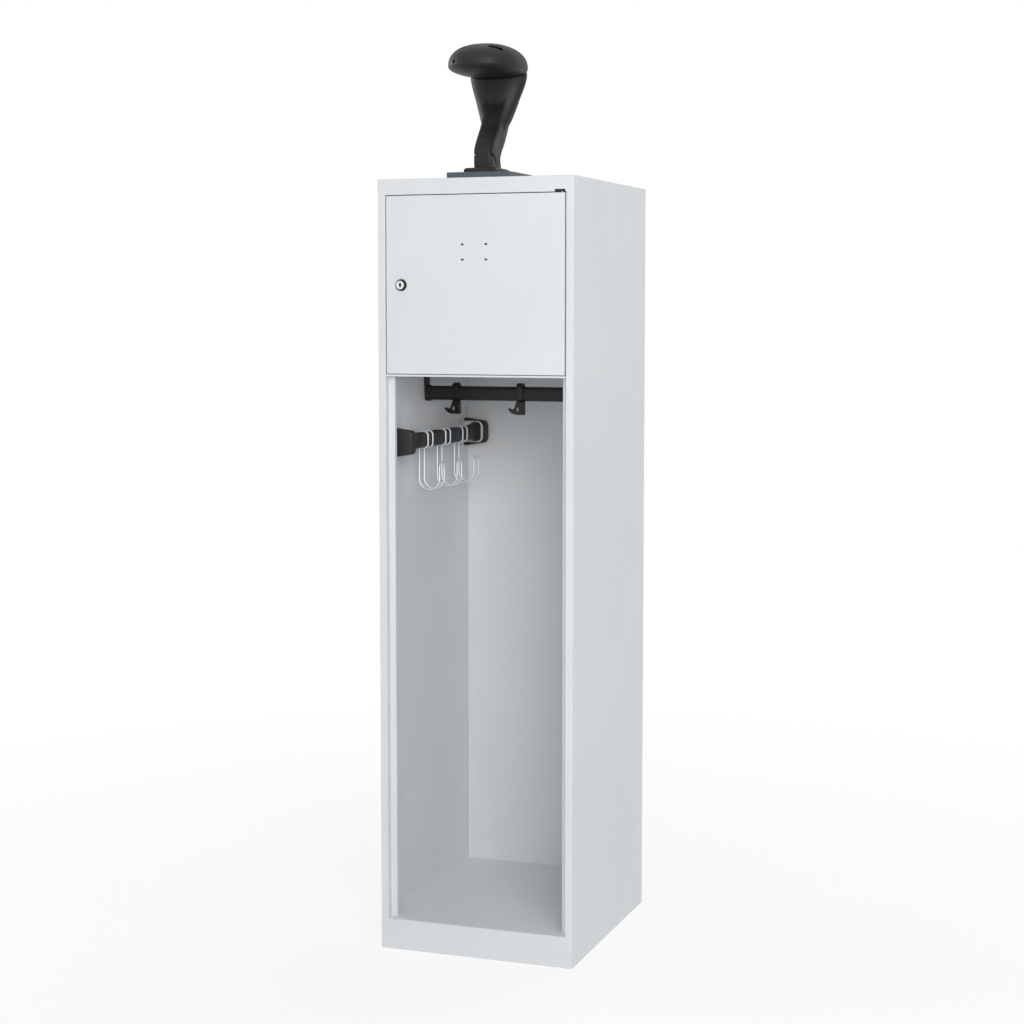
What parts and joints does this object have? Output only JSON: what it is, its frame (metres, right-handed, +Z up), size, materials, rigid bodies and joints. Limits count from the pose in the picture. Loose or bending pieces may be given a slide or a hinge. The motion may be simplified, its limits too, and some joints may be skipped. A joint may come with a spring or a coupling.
{
  "type": "firefighter locker",
  "caption": "Tall open-front steel locker with a lockable top compartment, a clothes rail with sliding hooks, an equipment arm with wire hooks, and a helmet holder on the roof",
  "frame": {"origin": "on the floor, in the middle of the whole piece as seen from above, dome included", "axes": "+Z up, the front with the door faces -Y, +X to the right as seen from the front"},
  "size_m": [0.5, 0.6154, 2.2222],
  "materials": {
    "cabinet_paint": "light grey powder coat, satin",
    "door_paint": "light grey powder coat, satin",
    "base_paint": "dark blue-grey powder coat",
    "moulded_black": "moulded black, fine grain",
    "rail_black": "smooth black",
    "hook_black": "glossy moulded black",
    "holder_black": "moulded black, satin",
    "lock_black": "moulded black",
    "lock_steel": "bright nickel",
    "zinc_steel": "zinc plated",
    "wire_steel": "bright zinc plated wire",
    "buffer_rubber": "dark grey rubber"
  },
  "bodies": {
    "cabinet": {"side_panel_left": "cabinet_paint", "side_panel_right": "cabinet_paint", "back_panel": "cabinet_paint", "roof_panel": "cabinet_paint", "floor_panel": "cabinet_paint", "plinth": "cabinet_paint", "compartment_shelf": "cabinet_paint", "hinge_block_top": "moulded_black", "hinge_bush_bottom": "moulded_black", "door_buffers": "buffer_rubber", "rail_bracket_left": "rail_black", "rail_bracket_right": "rail_black", "clothes_rail": "rail_black", "rail_screws": "zinc_steel", "arm_bracket": "cabinet_paint", "arm_cap_front": "moulded_black", "arm_cap_rear": "moulded_black", "equipment_arm": "moulded_black", "arm_end_screws": "zinc_steel", "arm_wall_screws": "zinc_steel", "helmet_base_plate": "base_paint", "helmet_foot": "holder_black", "helmet_stalk": "holder_black", "helmet_dome": "holder_black", "helmet_bolts": "zinc_steel", "helmet_nuts": "zinc_steel"},
    "door": {"door_panel": "door_paint", "door_stiffener": "cabinet_paint", "hinge_pin_top": "zinc_steel", "hinge_pin_bottom": "zinc_steel", "lock_housing": "lock_black", "lock_nut": "zinc_steel"},
    "lock_core": {"lock_core": "lock_steel", "lock_cam": "zinc_steel", "cam_screw": "zinc_steel"},
    "rail_hook_1": {"rail_hook_1": "hook_black"},
    "rail_hook_2": {"rail_hook_2": "hook_black"},
    "wire_hook_1": {"wire_hook_1": "wire_steel"},
    "wire_hook_2": {"wire_hook_2": "wire_steel"},
    "wire_hook_3": {"wire_hook_3": "wire_steel"}
  },
  "joints": [
    {"name": "door_swing", "type": "hinge", "parent": "cabinet", "child": "door", "pos_m": [0.2195, -0.28525, 1.64575], "axis": [0, 0, 1], "range_deg": [0, 110]},
    {"name": "lock_turn", "type": "hinge", "parent": "door", "child": "lock_core", "pos_m": [-0.1885, -0.29225, 1.64575], "axis": [0, -1, 0], "range_deg": [0, 90]},
    {"name": "rail_hook_1_slide", "type": "slide", "parent": "cabinet", "child": "rail_hook_1", "axis": [1, 0, 0], "range_m": [-0.049, 0.062]},
    {"name": "rail_hook_2_slide", "type": "slide", "parent": "cabinet", "child": "rail_hook_2", "axis": [1, 0, 0], "range_m": [-0.062, 0.2]},
    {"name": "wire_hook_1_slide", "type": "slide", "parent": "cabinet", "child": "wire_hook_1", "axis": [0, 1, 0], "range_m": [-0.005, 0.005]},
    {"name": "wire_hook_2_slide", "type": "slide", "parent": "cabinet", "child": "wire_hook_2", "axis": [0, 1, 0], "range_m": [-0.005, 0.005]},
    {"name": "wire_hook_3_slide", "type": "slide", "parent": "cabinet", "child": "wire_hook_3", "axis": [0, 1, 0], "range_m": [-0.005, 0.005]}
  ]
}
